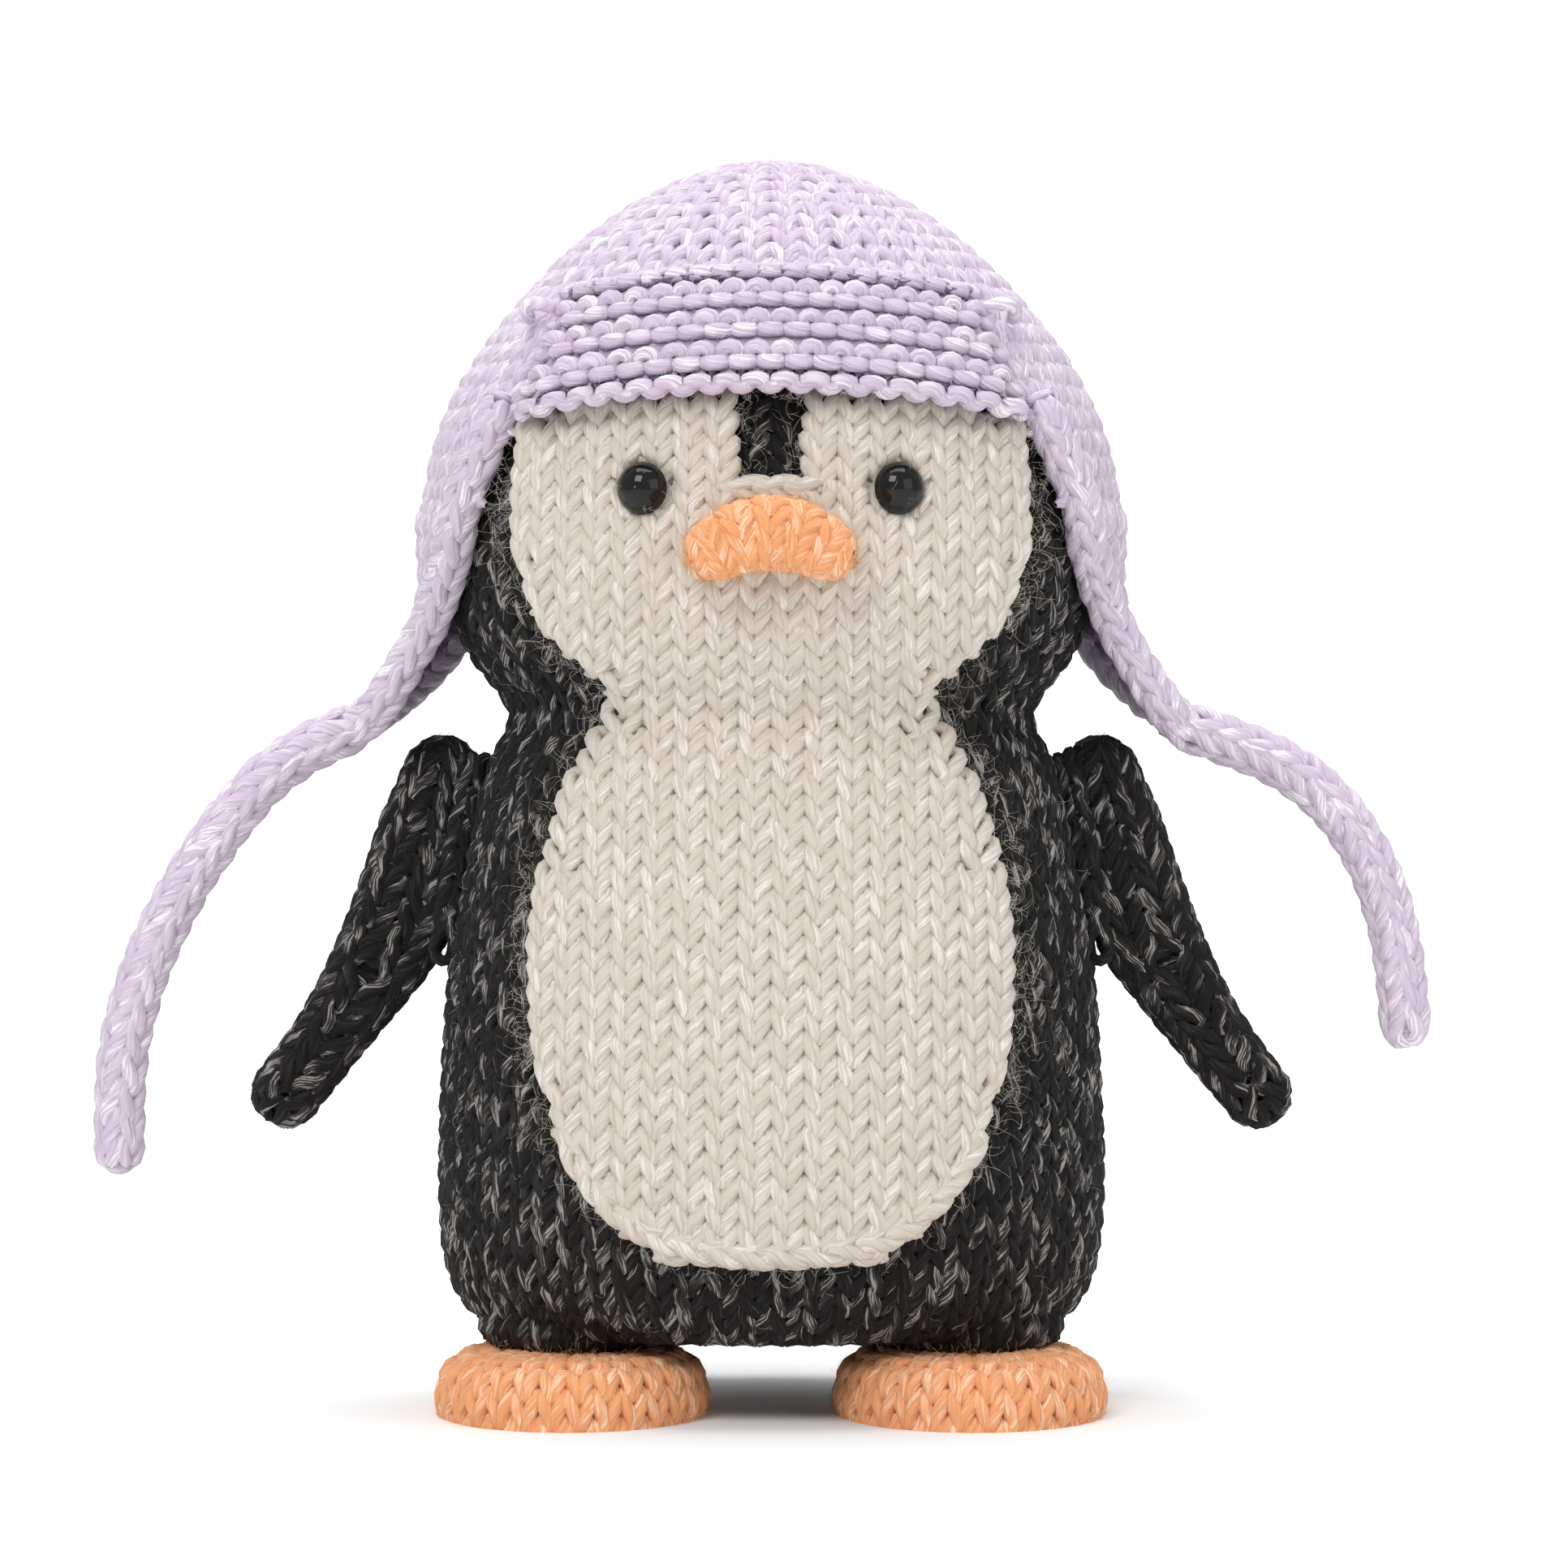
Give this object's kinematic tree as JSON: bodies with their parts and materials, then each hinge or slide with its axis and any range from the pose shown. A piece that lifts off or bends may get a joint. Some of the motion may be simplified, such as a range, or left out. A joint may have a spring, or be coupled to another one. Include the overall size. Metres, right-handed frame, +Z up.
{
  "type": "plush penguin",
  "caption": "Hand-knitted standing toy penguin with sewn-on face and tummy panel, movable flippers and a lift-off earflap hat with cord ties.",
  "frame": {"origin": "on the standing surface, under the middle of the penguin", "axes": "+Z up, -Y the way the face looks, +X the penguin's own left hand"},
  "size_m": [0.1551, 0.0814, 0.1491],
  "materials": {
    "black_wool": "knitted charcoal marl wool",
    "cream_wool": "knitted cream wool",
    "orange_wool": "knitted pale orange wool",
    "lilac_wool": "knitted lilac marl wool",
    "filling": "loose polyester fibre filling",
    "eye_plastic": "polished black",
    "washer_plastic": "plain moulded"
  },
  "bodies": {
    "torso": {"body_cover": "black_wool", "body_stuffing": "filling", "head_stuffing": "filling", "neck_yarn": "black_wool", "front_panel": "cream_wool", "beak_cover": "orange_wool", "beak_stuffing": "filling", "eye_left": "eye_plastic", "eye_right": "eye_plastic", "eye_washer_left": "washer_plastic", "eye_washer_right": "washer_plastic", "foot_left": "orange_wool", "foot_right": "orange_wool", "foot_stuffing_left": "filling", "foot_stuffing_right": "filling"},
    "hat": {"hat_crown": "lilac_wool", "hat_peak": "lilac_wool", "hat_peak_tacks": "lilac_wool"},
    "flipper_seam_left": {"flipper_seam_left": "black_wool"},
    "flipper_left": {"flipper_left": "black_wool"},
    "earflap_left": {"earflap_left": "lilac_wool"},
    "tie_left": {"tie_left": "lilac_wool"},
    "flipper_seam_right": {"flipper_seam_right": "black_wool"},
    "flipper_right": {"flipper_right": "black_wool"},
    "earflap_right": {"earflap_right": "lilac_wool"},
    "tie_right": {"tie_right": "lilac_wool"}
  },
  "joints": [
    {"name": "hat_lift", "type": "slide", "parent": "torso", "child": "hat", "axis": [0, 0, 1], "range_m": [0, 0.075]},
    {"name": "flipper_left_swing", "type": "hinge", "parent": "torso", "child": "flipper_seam_left", "pos_m": [0.03665, 0.00324, 0.076], "axis": [-0.2042, 0, 0.9789], "range_deg": [-40, 40], "stiffness_Nm_per_rad": 0.01},
    {"name": "flipper_left_raise", "type": "hinge", "parent": "flipper_seam_left", "child": "flipper_left", "pos_m": [0.0387, 0.00324, 0.077], "axis": [0, -1, 0], "range_deg": [0, 40], "stiffness_Nm_per_rad": 0.01},
    {"name": "earflap_left_lift", "type": "hinge", "parent": "hat", "child": "earflap_left", "pos_m": [0.042, 0.00324, 0.1068], "axis": [0, -1, 0], "range_deg": [0, 70]},
    {"name": "tie_left_swing", "type": "hinge", "parent": "earflap_left", "child": "tie_left", "pos_m": [0.0496, -0.00377, 0.0824], "axis": [0, -1, 0], "range_deg": [-15, 60], "stiffness_Nm_per_rad": 0.003},
    {"name": "flipper_right_swing", "type": "hinge", "parent": "torso", "child": "flipper_seam_right", "pos_m": [-0.03665, 0.00324, 0.076], "axis": [0.2042, 0, 0.9789], "range_deg": [-40, 40], "stiffness_Nm_per_rad": 0.01},
    {"name": "flipper_right_raise", "type": "hinge", "parent": "flipper_seam_right", "child": "flipper_right", "pos_m": [-0.0387, 0.00324, 0.077], "axis": [0, 1, 0], "range_deg": [0, 40], "stiffness_Nm_per_rad": 0.01},
    {"name": "earflap_right_lift", "type": "hinge", "parent": "hat", "child": "earflap_right", "pos_m": [-0.042, 0.00324, 0.1068], "axis": [0, 1, 0], "range_deg": [0, 70]},
    {"name": "tie_right_swing", "type": "hinge", "parent": "earflap_right", "child": "tie_right", "pos_m": [-0.0496, -0.00377, 0.0824], "axis": [0, 1, 0], "range_deg": [-15, 60], "stiffness_Nm_per_rad": 0.003}
  ]
}
